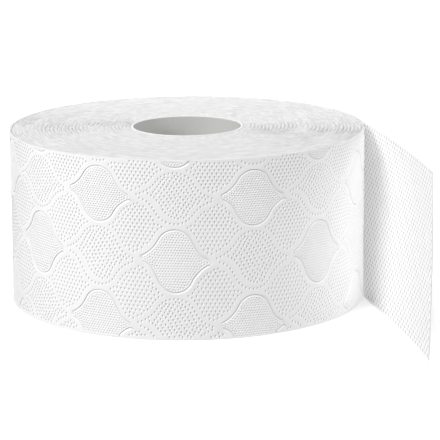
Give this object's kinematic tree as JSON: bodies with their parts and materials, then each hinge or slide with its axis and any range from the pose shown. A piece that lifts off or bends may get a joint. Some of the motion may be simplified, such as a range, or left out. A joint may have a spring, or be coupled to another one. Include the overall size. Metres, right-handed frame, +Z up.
{
  "type": "toilet paper roll",
  "caption": "Mini jumbo toilet paper roll on a cardboard core, standing on end, with its free end pulled off and hanging open at the side.",
  "frame": {"origin": "on the roll's axis, in the plane of its lower end", "axes": "+Z up along the roll's axis; the free end leaves the roll at +X and runs towards -Y"},
  "size_m": [0.2112, 0.225, 0.092],
  "materials": {
    "tissue": "soft, matt and finely embossed",
    "core_card": "matt grey board"
  },
  "bodies": {
    "root": {"paper_roll": "tissue", "core_tube": "core_card"}
  },
  "joints": []
}
